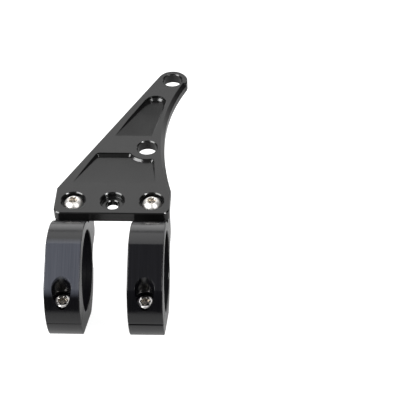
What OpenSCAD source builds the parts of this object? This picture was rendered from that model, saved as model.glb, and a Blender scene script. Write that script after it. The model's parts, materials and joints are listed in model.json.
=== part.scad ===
// Headlight mounting bracket for one fork leg: a flat arm bolted on two split clamps.
// Origin on the fork's axis, midway between the clamps. +X runs along the fork,
// +Y is the way the arm reaches, and +Z is the side that the arm lies on.

/* [Fork] */
// Diameter of the fork tube that the clamps grip
fork_d = 43; // [39:0.5:50]
// Distance between the middles of the two clamps
clamp_spacing = 42; // [34:1:60]

/* [Clamps] */
// Width of each clamp along the fork
clamp_w = 18.2; // [15:0.2:20]
// Thickest wall, in front of the fork, where the pinch bolt runs
front_wall = 12.6; // [12:0.2:14]
// Thinnest wall, behind the fork
back_wall = 4.4; // [3.6:0.2:6]
// Angle by which the thickest wall lies below the front
wall_turn = 23; // [15:1:30]
// Wall between the fork and the two flats above and below the thickest wall
flat_wall = 7.1; // [6.5:0.1:8]
// Angle between each flat and the face between them
flat_spread = 60; // [56:1:64]
// Angle by which the face between the flats looks down
flats_turn = 3; // [0:1:6]
// Height of the arm's seat above the fork's axis
seat_height = 14.4; // [12:0.2:17]
// Depth of the lug below the arm's seat
lug_depth = 23; // [20:0.5:26]
// Wall of the lug behind the arm screw's thread
lug_back_wall = 3.5; // [2.5:0.1:6]
// Radius of the lug's lower back corner
lug_corner_r = 4; // [2:0.5:6]
// Radius of the hollow between the lug and the ring
lug_hollow_r = 8; // [6:0.5:9]
// Wall left between the fork and that hollow, which lets the clamp flex
hollow_wall = 3.5; // [2.5:0.1:4]
// Wall between the fork's bore and the arm screw's thread
arm_screw_wall = 7.5; // [6:0.1:10]
// Wall between the fork's bore and the pinch bolt's counterbore
pinch_wall = 1.5; // [0.8:0.1:2]
// Drop of the slit's middle below the fork's axis
slit_drop = 4.7; // [3.5:0.1:6]
// Gap of the inner clamp's slit
inner_slit_gap = 1; // [0.5:0.1:2]
// Gap of the outer clamp's slit, which is nipped nearly shut
outer_slit_gap = 0.3; // [0.2:0.1:2]
// Fine chamfer round the edges of the clamps
clamp_break = 0.4; // [0.2:0.05:0.6]

/* [Arm] */
// Thickness of the arm
arm_t = 6.3; // [5.5:0.1:8]
// Metal between each arm screw's axis and the side of the base
base_side = 9.8; // [8.5:0.1:13]
// Length of the base's straight sides behind the screw row
base_back = 10; // [8.5:0.5:14]
// Gap between the rings of the clamps and the front edge of the arm
ring_gap = 0.5; // [0.3:0.1:1.5]
// Radius of the two front corners
front_corner_r = 4; // [2:0.5:6]
// Distance from the screw row to the lamp's eyelet
reach = 105.8; // [98:0.2:125]
// Sideways shift of the eyelet from the middle of the screw row
eyelet_shift = 26.8; // [22:0.2:30]
// Outer radius of the eyelet
eyelet_r = 8.9; // [7.5:0.1:11]
// Sideways place of the waist, where the hollow edge comes nearest to the middle
waist_x = 25; // [23.5:0.1:26]
// Distance from the screw row to the waist
waist_y = 55; // [50:0.5:62]
// Wide bevel along the hollow edge
hollow_bevel = 2; // [1:0.1:2.6]
// Fine chamfer round the other edges
edge_break = 0.5; // [0.3:0.05:0.8]

/* [Holes] */
// Diameter of the two lamp holes
lamp_hole_d = 11; // [8:0.1:12]
// Sideways place of the middle lamp hole
middle_hole_x = 15.8; // [13:0.1:17]
// Distance from the screw row to the middle lamp hole
middle_hole_y = 44; // [42:0.2:47]
// Diameter of the three counterbores in the base
counterbore_d = 12.7; // [12:0.1:14]
// Depth of the three counterbores
counterbore_depth = 3; // [2:0.1:3.6]

/* [Pockets] */
// Slope of both pocket floors in degrees
floor_slope = 4.2; // [2.5:0.1:5.5]
// Land between the pockets and the long straight edge
straight_land = 4.3; // [3.5:0.1:6]
// Radius of the upper pocket's round end
upper_end_r = 6.3; // [4.5:0.1:7]
// Distance from the eyelet back to the middle of the upper pocket's round end
upper_end_back = 21.6; // [18:0.2:26]
// Distance from the screw row to the line where the upper floor runs out
upper_fade_y = 54; // [52.5:0.5:60]
// Land between the waist and the upper pocket
waist_land = 6; // [5:0.1:8]
// Distance from the screw row to the far wall of the lower pocket
lower_end_y = 39; // [38:0.1:40]
// Distance from the screw row to the line where the lower floor runs out
lower_fade_y = 14.5; // [12:0.5:20]
// Land between the lower pocket and the hollow edge
side_land = 6.4; // [5:0.1:8]
// Wall left standing between the lower pocket and the middle lamp hole
island_wall = 4.7; // [3.5:0.1:5.5]
// Radius of the lower pocket's corners
pocket_corner_r = 2; // [1.5:0.1:2.4]

/* [Arm screws] */
// Thread diameter
arm_screw_d = 6; // [5:0.5:8]
// Length under the head
arm_screw_length = 20; // [16:1:20]
// Diameter of the button head
button_d = 10.5; // [9.5:0.1:11.4]
// Height of the button head
button_h = 3.3; // [3:0.1:4]
// Height of the button head's upright rim
button_rim = 0.4; // [0.2:0.05:0.6]
// Diameter of the flat on top of the button head
button_flat_d = 5.8; // [5.2:0.1:6.6]
// Width across the flats of the button head's socket
button_socket = 4; // [3:0.5:4.5]
// Depth of the button head's socket
button_socket_depth = 2.1; // [1.5:0.1:2.5]

/* [Pinch bolts] */
// Thread diameter
pinch_d = 5; // [4:0.5:6]
// Length under the head
pinch_length = 12; // [10:1:13]
// Diameter of the cap head
cap_d = 8.5; // [7:0.1:9.5]
// Height of the cap head
cap_h = 5; // [4:0.1:6]
// Width across the flats of the cap head's socket
cap_socket = 4; // [3:0.5:5]
// Depth of the cap head's socket
cap_socket_depth = 2.5; // [2:0.1:3]
// Clearance all round the cap head in its counterbore
cap_clearance = 0.75; // [0.3:0.05:1]
// Height of the head's seat above the slit's middle
pinch_seat_rise = 6.7; // [5:0.1:8]

/* [Fits] */
// Clearance all round a shank in its through hole
shank_clearance = 0.3; // [0.2:0.05:0.5]
// Clearance all round a thread in its tapped hole
thread_clearance = 0.05; // [0.03:0.01:0.1]
// Unused depth of a tapped hole past the screw's tip
tap_reserve = 2; // [1:0.5:3]
// Chamfer on a screw's tip
tip_break = 0.7; // [0.4:0.1:1]

/* [Hidden] */
$fn = 96;
black = [0.08, 0.08, 0.085];
steel = [0.78, 0.77, 0.75];
// Overrun of a cutter past the face that it cuts
over = 0.2;
// Angle by which a chamfer runs past the end of its round
past = 1;
// Length by which the chamfer of the base's side runs past its corner
run_out = 10;
// Number of facets of the arm's two long rounds
long_fn = 720;
// Overlap of two rounds that touch, so that one runs into the other
hair = 0.01;
// A length longer than any piece
far = 500;

// Clamps, in the plane across the fork
fork_r = fork_d / 2;
ring_r = fork_r + (front_wall + back_wall) / 2;
ring_shift = (front_wall - back_wall) / 2;
ring_y = -ring_shift * cos(wall_turn);
ring_z = -ring_shift * sin(wall_turn);
row_y = fork_r + arm_screw_wall + arm_screw_d / 2;
lug_back_y = row_y + arm_screw_d / 2 + lug_back_wall;
lug_bottom_z = seat_height - lug_depth;
ring_c = [ring_y, ring_z];
ring_y_at_seat = ring_y + sqrt(pow(ring_r, 2) - pow(seat_height - ring_z, 2));
hollow_z = lug_bottom_z - lug_hollow_r;
hollow_c = [sqrt(pow(fork_r + hollow_wall + lug_hollow_r, 2) - pow(hollow_z, 2)), hollow_z];
// Where the ring meets the hollow: the angle seen from the ring's centre, and from the hollow's
ring_to_hollow = hollow_c - ring_c;
hollow_way = atan2(ring_to_hollow.y, ring_to_hollow.x);
ring_end_turn = hollow_way - corner_angle(ring_r, norm(ring_to_hollow), lug_hollow_r);
hollow_end_turn = 180 + hollow_way + corner_angle(lug_hollow_r, norm(ring_to_hollow), ring_r);
// Where the flats above and below the front look
upper_flat = 180 + flats_turn - flat_spread;
lower_flat = 180 + flats_turn + flat_spread;
cap_bore_r = cap_d / 2 + cap_clearance;
pinch_y = -(fork_r + pinch_wall + cap_bore_r);
pinch_seat_z = pinch_seat_rise - slit_drop;

// Arm, in its own plane: the middle of the screw row is the origin
base_half = clamp_spacing / 2 + base_side;
front_y = ring_y_at_seat + ring_gap - row_y;
eyelet = [eyelet_shift, reach];
middle_hole = [middle_hole_x, middle_hole_y];
lamp_hole_r = lamp_hole_d / 2;
shoulder = [-base_half, base_back];
to_eyelet = eyelet - shoulder;
edge_turn = atan2(to_eyelet.y, to_eyelet.x) + asin(eyelet_r / norm(to_eyelet));
edge_dir = [cos(edge_turn), sin(edge_turn)];
edge_in = [sin(edge_turn), -cos(edge_turn)];
edge_end = eyelet - eyelet_r * edge_in;
// The upper round touches the waist upright and the eyelet from outside
upper_r = (pow(waist_x - eyelet.x, 2) + pow(eyelet.y - waist_y, 2) - pow(eyelet_r, 2))
        / (2 * (eyelet_r + eyelet.x - waist_x));
upper_c = [waist_x + upper_r, waist_y];
upper_turn = atan2(eyelet.y - upper_c.y, eyelet.x - upper_c.x);
// The lower round touches the waist upright and ends on the base's side
lower_r = (pow(base_half - waist_x, 2) + pow(waist_y - base_back, 2)) / (2 * (base_half - waist_x));
lower_c = [waist_x + lower_r, waist_y];
lower_turn = 180 + asin((waist_y - base_back) / lower_r);

// Pockets
land_from = shoulder + straight_land * edge_in;
upper_end = land_from + upper_end_r * edge_in
          + ((reach - upper_end_back - land_from.y - upper_end_r * edge_in.y) / edge_dir.y) * edge_dir;
upper_foot = [waist_x - waist_land, upper_fade_y];
to_foot = upper_foot - upper_end;
foot_turn = atan2(to_foot.y, to_foot.x) + asin(upper_end_r / norm(to_foot));
foot_in = [sin(foot_turn), -cos(foot_turn)];
island_r = lamp_hole_r + island_wall;
side_top = [hollow_x(lower_end_y) - side_land, lower_end_y];
side_foot = [hollow_x(lower_fade_y) - side_land, lower_fade_y];
side_dir = (side_top - side_foot) / norm(side_top - side_foot);
side_in = [-side_dir.y, side_dir.x];
left_corner_c = [land_x(lower_end_y - pocket_corner_r) + pocket_corner_r / edge_in.x,
                 lower_end_y - pocket_corner_r];
// Two corners run into the round wall of the middle hole, and cut a hair into it
corner_to_hole = island_r + pocket_corner_r - hair;
knuckle_drop = middle_hole.y - lower_end_y + pocket_corner_r;
knuckle_c = middle_hole - [sqrt(pow(corner_to_hole, 2) - pow(knuckle_drop, 2)), knuckle_drop];
side_offset = cross2(middle_hole - side_foot, side_dir) + pocket_corner_r;
side_run = sqrt(pow(corner_to_hole, 2) - pow(side_offset, 2));
side_corner_c = middle_hole + side_offset * side_in - side_run * side_dir;

function cross2(a, b) = a.x * b.y - a.y * b.x;
// Angle between sides a and b of a triangle whose third side is c
function corner_angle(a, b, c) = acos((a * a + b * b - c * c) / (2 * a * b));
function toward(turn) = [cos(turn), sin(turn)];
// Distance of a flat from the ring's centre, half the arc that it takes off, and a point on the ring
function flat_reach(turn) = fork_r + flat_wall - toward(turn) * ring_c;
function half_arc(turn) = acos(flat_reach(turn) / ring_r);
function ring_point(turn) = ring_c + ring_r * toward(turn);
// Sideways place of the pockets' long wall, and of the hollow edge below the waist
function land_x(y) = land_from.x + (y - land_from.y) * edge_dir.x / edge_dir.y;
function hollow_x(y) = lower_c.x - sqrt(pow(lower_r, 2) - pow(waist_y - y, 2));

// Triangle that takes a chamfer off an edge: the metal lies at negative x and negative y
module edge_section(c) {
    polygon([[-c - over, over], [over, over], [over, -c - over]]);
}

// Chamfer along a straight edge, with the metal on the left of the way from p to q
module break_line(p, q, c) {
    way = q - p;
    translate(p)
        rotate([0, 0, atan2(way.y, way.x)])
            rotate([90, 0, 90])
                linear_extrude(norm(way))
                    mirror([1, 0]) edge_section(c);
}

// Chamfer round a rim whose metal lies inside the radius
module break_round(center, r, from, to, c) {
    translate(center)
        rotate([0, 0, from])
            rotate_extrude(angle = to - from)
                translate([r, 0]) edge_section(c);
}

// Chamfer round a rim whose metal lies outside the radius
module break_hollow(center, r, from, to, c) {
    translate(center)
        rotate([0, 0, from])
            rotate_extrude(angle = to - from)
                translate([r, 0]) mirror([1, 0]) edge_section(c);
}

// Chamfer round the mouth of a hole in the top face
module mouth(center, r, c) {
    translate([center.x, center.y, -c]) cylinder(r1 = r, r2 = r + c + over, h = c + over);
}

// Plan of the arm
module arm_plan() {
    difference() {
        union() {
            polygon([
                [-base_half, front_y + front_corner_r],
                [-base_half + front_corner_r, front_y],
                [base_half - front_corner_r, front_y],
                [base_half, front_y + front_corner_r],
                [base_half, base_back],
                upper_c + upper_r * [cos(upper_turn), sin(upper_turn)],
                eyelet,
                edge_end,
                shoulder
            ]);
            for (side = [-1, 1])
                translate([side * (base_half - front_corner_r), front_y + front_corner_r])
                    circle(front_corner_r);
            translate(eyelet) circle(eyelet_r);
        }
        translate(upper_c) circle(upper_r, $fn = long_fn);
        intersection() {
            translate(lower_c) circle(lower_r, $fn = long_fn);
            translate([0, waist_y - far]) square(far);
        }
    }
}

// Chamfers round the arm's top rim; the hollow edge has its own width
module arm_rim(c, hollow_c) {
    front_l = [-base_half + front_corner_r, front_y + front_corner_r];
    front_r = [base_half - front_corner_r, front_y + front_corner_r];
    break_line(front_l - [0, front_corner_r], front_r - [0, front_corner_r], c);
    break_round(front_r, front_corner_r, -90, 0, c);
    break_line(front_r + [front_corner_r, 0], [base_half, base_back + run_out], c);
    break_hollow(lower_c, lower_r, 180, lower_turn + past, hollow_c, $fn = long_fn);
    break_hollow(upper_c, upper_r, upper_turn, 180, hollow_c, $fn = long_fn);
    break_round(eyelet, eyelet_r, upper_turn - 180, 90 + edge_turn, c);
    break_line(edge_end, shoulder - over * edge_dir, c);
    break_line(shoulder + [0, over], front_l - [front_corner_r, 0], c);
    break_round(front_l, front_corner_r, 180, 270, c);
}

// Plan of the upper pocket, run on past the line where its floor meets the top face
module upper_pocket_plan() {
    run_on = upper_end_r;
    polygon([
        upper_end - upper_end_r * edge_in,
        [land_x(upper_fade_y - run_on), upper_fade_y - run_on],
        [upper_foot.x, upper_fade_y - run_on],
        upper_foot,
        upper_end - upper_end_r * foot_in,
        upper_end
    ]);
    translate(upper_end) circle(upper_end_r);
}

// Plan of the lower pocket, which bends round the middle lamp hole
module lower_pocket_plan() {
    run_on = pocket_corner_r;
    difference() {
        union() {
            polygon([
                [left_corner_c.x, lower_end_y],
                left_corner_c,
                left_corner_c - pocket_corner_r * edge_in,
                [land_x(lower_fade_y - run_on), lower_fade_y - run_on],
                [side_foot.x, lower_fade_y - run_on],
                side_foot,
                side_corner_c - pocket_corner_r * side_in,
                side_corner_c,
                middle_hole,
                knuckle_c,
                [knuckle_c.x, lower_end_y]
            ]);
            for (center = [left_corner_c, side_corner_c, knuckle_c])
                translate(center) circle(pocket_corner_r);
        }
        translate(middle_hole) circle(island_r);
    }
}

// All that lies above a floor that starts at the top face and falls away from the screw row
module above_floor(fade_y) {
    translate([-far / 2, fade_y, 0])
        rotate([-floor_slope, 0, 0])
            translate([0, -far / 2, 0]) cube([far, far, far]);
}

module pocket(fade_y) {
    intersection() {
        above_floor(fade_y);
        translate([0, 0, -arm_t]) linear_extrude(arm_t + over) children();
    }
}

module arm() {
    row = [-clamp_spacing / 2, 0, clamp_spacing / 2];
    shank_hole_r = arm_screw_d / 2 + shank_clearance;
    color(black)
        translate([0, row_y, seat_height + arm_t])
            difference() {
                translate([0, 0, -arm_t]) linear_extrude(arm_t) arm_plan();
                arm_rim(edge_break, hollow_bevel);
                translate([0, 0, -arm_t]) mirror([0, 0, 1]) arm_rim(edge_break, edge_break);
                for (hole = [eyelet, middle_hole]) {
                    translate([hole.x, hole.y, -arm_t - over]) cylinder(r = lamp_hole_r, h = arm_t + 2 * over);
                    mouth(hole, lamp_hole_r, edge_break);
                    translate([0, 0, -arm_t]) mirror([0, 0, 1]) mouth(hole, lamp_hole_r, edge_break);
                }
                for (x = row) {
                    translate([x, 0, -arm_t - over]) cylinder(r = shank_hole_r, h = arm_t + 2 * over);
                    translate([x, 0, -counterbore_depth]) cylinder(d = counterbore_d, h = counterbore_depth + over);
                    mouth([x, 0], counterbore_d / 2, edge_break);
                }
                pocket(upper_fade_y) upper_pocket_plan();
                pocket(lower_fade_y) lower_pocket_plan();
            }
}

// Lies a drawing of the section across the fork in its place, w wide along the fork
module across_fork(w) {
    rotate([90, 0, 90]) linear_extrude(w, center = true) children();
}

// The clamp's round with its two flats, seen along the fork
module ring_section() {
    difference() {
        translate(ring_c) circle(ring_r);
        for (turn = [upper_flat, lower_flat])
            rotate(turn) translate([fork_r + flat_wall, -far / 2]) square(far);
    }
}

// Section of a clamp across the fork, without its bore and the hollow behind it
module clamp_section() {
    r = lug_corner_r;
    ring_section();
    translate([0, lug_bottom_z + r]) square([lug_back_y, lug_depth - r]);
    translate([0, lug_bottom_z]) square([lug_back_y - r, lug_depth]);
    translate([lug_back_y - r, lug_bottom_z + r]) circle(r);
    translate([0, hollow_c.y]) square([hollow_c.x, lug_hollow_r]);
}

// Chamfer along the edge of one of the clamp's flats, run on a little past both ends
module break_flat(turn, c) {
    run_on = over * toward(turn + 90);
    break_line(ring_point(turn - half_arc(turn)) - run_on, ring_point(turn + half_arc(turn)) + run_on, c);
}

// Chamfers round one flank of a clamp, apart from the edges that the arm covers
module clamp_rim(c) {
    r = lug_corner_r;
    seat_turn = acos((ring_y_at_seat - ring_y) / ring_r);
    upper = half_arc(upper_flat);
    lower = half_arc(lower_flat);
    break_round(ring_c, ring_r, seat_turn + past, upper_flat - upper + past, c);
    break_flat(upper_flat, c);
    break_round(ring_c, ring_r, upper_flat + upper - past, lower_flat - lower + past, c);
    break_flat(lower_flat, c);
    break_round(ring_c, ring_r, lower_flat + lower - past, 360 + ring_end_turn + past, c);
    break_hollow(hollow_c, lug_hollow_r, 90, hollow_end_turn + past, c);
    break_line([hollow_c.x, lug_bottom_z], [lug_back_y - r, lug_bottom_z], c);
    break_round([lug_back_y - r, lug_bottom_z + r], r, -90, 0, c);
    break_line([lug_back_y, lug_bottom_z + r], [lug_back_y, seat_height + over], c);
    break_hollow([0, 0], fork_r, 0, 360, c);
}

// Cuts for the pinch bolt: counterbore and clear hole above the slit, thread below it
module pinch_cuts() {
    tip_z = pinch_seat_z - pinch_length;
    translate([0, pinch_y, 0]) {
        translate([0, 0, pinch_seat_z]) cylinder(r = cap_bore_r, h = far);
        translate([0, 0, -slit_drop]) cylinder(r = pinch_d / 2 + shank_clearance, h = slit_drop + pinch_seat_z + over);
        translate([0, 0, tip_z - tap_reserve])
            cylinder(r = pinch_d / 2 + thread_clearance, h = -slit_drop - tip_z + tap_reserve);
    }
}

module clamp(slit_gap) {
    tap_depth = arm_screw_length + counterbore_depth - arm_t + tap_reserve;
    difference() {
        across_fork(clamp_w)
            difference() {
                clamp_section();
                circle(fork_r);
                translate(hollow_c) circle(lug_hollow_r);
            }
        for (side = [0, 1])
            mirror([side, 0, 0])
                translate([clamp_w / 2, 0, 0])
                    rotate([90, 0, 90]) clamp_rim(clamp_break);
        translate([-clamp_w, -far, -slit_drop - slit_gap / 2]) cube([2 * clamp_w, far, slit_gap]);
        pinch_cuts();
        translate([0, row_y, seat_height - tap_depth])
            cylinder(r = arm_screw_d / 2 + thread_clearance, h = tap_depth + over);
    }
}

module outer_clamp() {
    color(black) translate([-clamp_spacing / 2, 0, 0]) clamp(outer_slit_gap);
}

module inner_clamp() {
    color(black) translate([clamp_spacing / 2, 0, 0]) clamp(inner_slit_gap);
}

// Plain shank with a chamfered tip, hanging from z = 0
module shank(d, length) {
    r = d / 2;
    rotate_extrude()
        polygon([[0, over], [r, over], [r, -length + tip_break], [r - tip_break, -length], [0, -length]]);
}

// Hexagon socket with a drilled bottom, sunk from z = 0
module socket(flats, depth) {
    translate([0, 0, -depth]) cylinder(d = flats / cos(30), h = depth + over, $fn = 6);
    drill_tip = flats / 4;
    translate([0, 0, -depth - drill_tip]) cylinder(r1 = 0, r2 = flats / 2, h = drill_tip + over / 2);
}

// Button head screw with its seat at z = 0: the dome is a ball cut by the flat on top
module arm_screw() {
    r = button_d / 2;
    flat_r = button_flat_d / 2;
    ball_z = (pow(flat_r, 2) + pow(button_h, 2) - pow(r, 2) - pow(button_rim, 2))
           / (2 * (button_h - button_rim));
    ball_r = norm([flat_r, button_h - ball_z]);
    difference() {
        union() {
            intersection() {
                translate([0, 0, ball_z]) sphere(ball_r);
                cylinder(r = r, h = button_h);
            }
            shank(arm_screw_d, arm_screw_length);
        }
        translate([0, 0, button_h]) socket(button_socket, button_socket_depth);
    }
}

// Cap head bolt with its seat at z = 0
module pinch_bolt() {
    r = cap_d / 2;
    c = clamp_break;
    difference() {
        union() {
            rotate_extrude() polygon([[0, 0], [r, 0], [r, cap_h - c], [r - c, cap_h], [0, cap_h]]);
            shank(pinch_d, pinch_length);
        }
        translate([0, 0, cap_h]) socket(cap_socket, cap_socket_depth);
    }
}

module place_arm_screw(side) {
    color(steel)
        translate([side * clamp_spacing / 2, row_y, seat_height + arm_t - counterbore_depth]) arm_screw();
}

module place_pinch_bolt(side) {
    color(steel) translate([side * clamp_spacing / 2, pinch_y, pinch_seat_z]) pinch_bolt();
}

module outer_arm_screw() { place_arm_screw(-1); }
module inner_arm_screw() { place_arm_screw(1); }
module outer_pinch_bolt() { place_pinch_bolt(-1); }
module inner_pinch_bolt() { place_pinch_bolt(1); }

arm();
outer_clamp();
inner_clamp();
outer_arm_screw();
inner_arm_screw();
outer_pinch_bolt();
inner_pinch_bolt();
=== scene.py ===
# %% [markdown]
# # Headlight mounting bracket
# This lesson dresses a bolted motorcycle bracket: a flat arm milled from plate, two split clamps
# for the fork tube, two button head screws and two cap head bolts.
# The CAD model is loaded first and is the fixed frame of the scene. It has the right shapes, and
# could simply be given its finishes. But a camera also sees what it leaves out: the slanted foot
# of a milled pocket, broken edges, a knurl. So each CAD node is replaced by a piece that has
# that detail, in the place that the CAD gives.

# %% Load the frame
import json
import math

import bmesh
import bpy
from mathutils import Matrix, Vector


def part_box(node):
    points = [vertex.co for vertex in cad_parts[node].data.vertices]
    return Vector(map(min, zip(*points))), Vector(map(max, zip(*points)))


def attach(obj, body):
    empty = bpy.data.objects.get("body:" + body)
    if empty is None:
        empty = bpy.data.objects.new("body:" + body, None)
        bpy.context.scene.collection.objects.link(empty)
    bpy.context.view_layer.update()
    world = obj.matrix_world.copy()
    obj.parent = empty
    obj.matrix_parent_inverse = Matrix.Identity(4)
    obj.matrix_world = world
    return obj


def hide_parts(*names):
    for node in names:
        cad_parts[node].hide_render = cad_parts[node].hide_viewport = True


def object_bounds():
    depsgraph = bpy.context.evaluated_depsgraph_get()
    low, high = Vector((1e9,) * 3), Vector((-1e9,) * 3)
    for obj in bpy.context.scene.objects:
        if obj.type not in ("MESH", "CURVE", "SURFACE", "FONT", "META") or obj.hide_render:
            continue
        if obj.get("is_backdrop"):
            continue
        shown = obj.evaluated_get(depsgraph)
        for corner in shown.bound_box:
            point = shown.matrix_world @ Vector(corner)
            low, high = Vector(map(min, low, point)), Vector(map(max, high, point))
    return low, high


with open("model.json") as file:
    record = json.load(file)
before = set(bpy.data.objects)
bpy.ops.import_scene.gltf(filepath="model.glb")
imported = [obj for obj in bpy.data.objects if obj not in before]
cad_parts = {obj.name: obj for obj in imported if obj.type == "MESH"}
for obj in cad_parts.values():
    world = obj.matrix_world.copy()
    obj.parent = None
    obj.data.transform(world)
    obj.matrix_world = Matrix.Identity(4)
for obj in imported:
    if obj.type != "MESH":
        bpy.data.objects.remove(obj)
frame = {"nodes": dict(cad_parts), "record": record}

cad_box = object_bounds()
mounts = {mount["name"]: mount for mount in frame["record"]["mounts"]}
print("nodes:", sorted(frame["nodes"]))

# %% [markdown]
# ## Drawing with a pen
# A flat plate starts as its outline. That could be one long list of points, but then nobody could
# see which of them belong to a round. Here a pen starts at one vertex, and two operators move it
# on: extruding a vertex draws a straight line, and spinning a vertex draws an arc. All drawing is
# in millimetres, as on a workshop drawing, and is scaled to metres at the end.

# %% Pen
MM = 0.001
ARC_STEP = 3


def way_to(turn):
    """Unit vector that points at turn degrees."""
    return Vector((math.cos(math.radians(turn)), math.sin(math.radians(turn))))


def turn_of(v):
    """Angle of a flat vector in degrees."""
    return math.degrees(math.atan2(v.y, v.x))


def pen_at(bm, at):
    """Puts the pen down at a point."""
    return bm.verts.new((at.x, at.y, 0))


def line_to(bm, pen, at):
    """Draws a straight line to a point."""
    pen = bmesh.ops.extrude_vert_indiv(bm, verts=[pen])["verts"][0]
    pen.co = (at.x, at.y, 0)
    return pen


def arc_to(bm, pen, center, at, side=1, step=ARC_STEP):
    """Draws an arc round center until it points at at; side is 1 anticlockwise and -1 clockwise."""
    turn = side * ((side * (turn_of(at - center) - turn_of(pen.co.xy - center))) % 360)
    steps = max(2, round(abs(turn) / step))
    made = bmesh.ops.spin(bm, geom=[pen], cent=(*center, 0), axis=(0, 0, 1), dvec=(0, 0, 0),
                          angle=math.radians(turn), steps=steps, use_merge=False, use_duplicate=False)
    return next(part for part in made["geom_last"] if isinstance(part, bmesh.types.BMVert))


print("a full circle takes", round(360 / ARC_STEP), "strokes of the pen")

# %% [markdown]
# The real arm starts as a piece of plate. Its top and bottom could be drawn as two faces and joined,
# but extruding one face makes both and the sides between them. The bevel operator's defaults
# differ from the editor's, so a helper gives its profile, material and kind of width once.

# %% Plate and bevel
TOUCH = 0.001


def plate(bm, low, high):
    """Closes the outline that the pen drew, fills it, and pulls it up from low to high."""
    bmesh.ops.remove_doubles(bm, verts=bm.verts, dist=TOUCH)
    face = bmesh.ops.contextual_create(bm, geom=bm.edges[:])["faces"][0]
    bmesh.ops.translate(bm, verts=bm.verts, vec=(0, 0, low))
    risen = bmesh.ops.extrude_face_region(bm, geom=[face])["geom"]
    upper = [part for part in risen if isinstance(part, bmesh.types.BMVert)]
    bmesh.ops.translate(bm, verts=upper, vec=(0, 0, high - low))
    bmesh.ops.recalc_face_normals(bm, faces=bm.faces)


def bevel(bm, edges, width, segments=1):
    """Takes a strip of the given width off the faces on both sides of each edge."""
    bmesh.ops.bevel(bm, geom=edges, offset=width, offset_type="OFFSET", segments=segments,
                    profile=0.5, affect="EDGES", clamp_overlap=False, material=-1)


print(f"points closer than {TOUCH} mm are one")

# %% [markdown]
# ## Outline of the arm
# The real arm has a straight long edge that touches the eyelet, and a hollow edge of two arcs that
# meet at the waist. The places of the holes come from the record of the CAD model, and the outer
# faces from the box of its arm, so the drawing can't drift away from the frame. The few other
# sizes repeat the ones of the part's source. Those that end in BACK are measured along y from the
# row of arm screws.

# %% Holes and faces that the CAD gives
arm_low, arm_high = [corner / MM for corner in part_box("arm")]
top, bottom = arm_high.z, arm_low.z
eyelet = Vector(mounts["headlight_eyelet"]["pos_m"]).xy / MM
middle_hole = Vector(mounts["middle_lamp_hole"]["pos_m"]).xy / MM
spare_hole = Vector(mounts["spare_base_hole"]["pos_m"]).xy / MM
lamp_hole_r = mounts["headlight_eyelet"]["dims"]["r_mm"]
shank_hole_r = mounts["spare_base_hole"]["dims"]["r_mm"]
row_y = spare_hole.y
screw_low, screw_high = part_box("inner_arm_screw")
screw_x = (screw_low.x + screw_high.x) / 2 / MM
base_half = -arm_low.x
eyelet_r = arm_high.y - eyelet.y
print(f"screw row at y {row_y:.1f} mm, screws {2 * screw_x:.1f} mm apart, eyelet {2 * eyelet_r:.1f} mm wide")

# %% [markdown]
# The straight edge leaves the base at its shoulder and just touches the eyelet. Its direction could
# be a written number, but then the edge would miss the eyelet if that ever moved, so it is worked
# out as a tangent. Both hollow arcs run along y where they meet, so their centres lie straight
# beside the waist. The upper arc touches the eyelet, and the lower one ends at the hip.

# %% Straight edge and hollow edge
BASE_BACK = 10
WAIST_X = 25
WAIST_BACK = 55

shoulder = Vector((-base_half, row_y + BASE_BACK))
hip = Vector((base_half, row_y + BASE_BACK))
waist = Vector((WAIST_X, row_y + WAIST_BACK))
to_eyelet = eyelet - shoulder
edge_way = way_to(turn_of(to_eyelet) + math.degrees(math.asin(eyelet_r / to_eyelet.length)))
edge_in = Vector((edge_way.y, -edge_way.x))
edge_end = eyelet - eyelet_r * edge_in

rise = eyelet - waist
upper_r = (rise.length_squared - eyelet_r ** 2) / (2 * (eyelet_r + rise.x))
upper_c = waist + Vector((upper_r, 0))
upper_end = eyelet + eyelet_r * (upper_c - eyelet).normalized()
lower_r = (hip - waist).length_squared / (2 * (hip.x - waist.x))
lower_c = waist + Vector((lower_r, 0))
print(f"hollow edge: arcs of {upper_r:.1f} and {lower_r:.1f} mm")

# %% [markdown]
# The pen now goes round once, anticlockwise from the front left corner. One step could serve all
# arcs, but the hollow ones are so large that three degrees would show as flats, and on the small
# corners so many points would be wasted.

# %% Draw the arm
FRONT_CORNER_R = 4
CORNER_STEP = 9
LOWER_ARC_STEP = 0.5
UPPER_ARC_STEP = 0.75

inset = Vector((FRONT_CORNER_R, FRONT_CORNER_R))
front_l = Vector((-base_half, arm_low.y)) + inset
front_r = Vector((base_half - FRONT_CORNER_R, front_l.y))
arm_bm = bmesh.new()
pen = pen_at(arm_bm, front_l - Vector((0, FRONT_CORNER_R)))
pen = line_to(arm_bm, pen, front_r - Vector((0, FRONT_CORNER_R)))
pen = arc_to(arm_bm, pen, front_r, front_r + Vector((FRONT_CORNER_R, 0)), step=CORNER_STEP)
pen = line_to(arm_bm, pen, hip)
pen = arc_to(arm_bm, pen, lower_c, waist, side=-1, step=LOWER_ARC_STEP)
pen = arc_to(arm_bm, pen, upper_c, upper_end, side=-1, step=UPPER_ARC_STEP)
pen = arc_to(arm_bm, pen, eyelet, edge_end)
pen = line_to(arm_bm, pen, shoulder)
pen = line_to(arm_bm, pen, front_l - Vector((FRONT_CORNER_R, 0)))
arc_to(arm_bm, pen, front_l, front_l - Vector((0, FRONT_CORNER_R)), step=CORNER_STEP)
plate(arm_bm, bottom, top)
print(f"arm: outline of {len(arm_bm.verts) // 2} points, {top - bottom:.1f} mm thick")

# %% [markdown]
# ## Edges of the arm
# A wide bevel runs along the hollow edge, and a fine chamfer along all others. Each could be
# modelled face by face, but one bevel operator on the right edges makes it even all along. The wide
# one comes first, because an edge that a bevel made is no longer where the drawing put it.

# %% Bevel the arm
RIM_BREAK = 0.5
HOLLOW_BEVEL = 2.0
RIM_ANGLE = math.radians(60)
ON_ARC = 0.01


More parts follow.
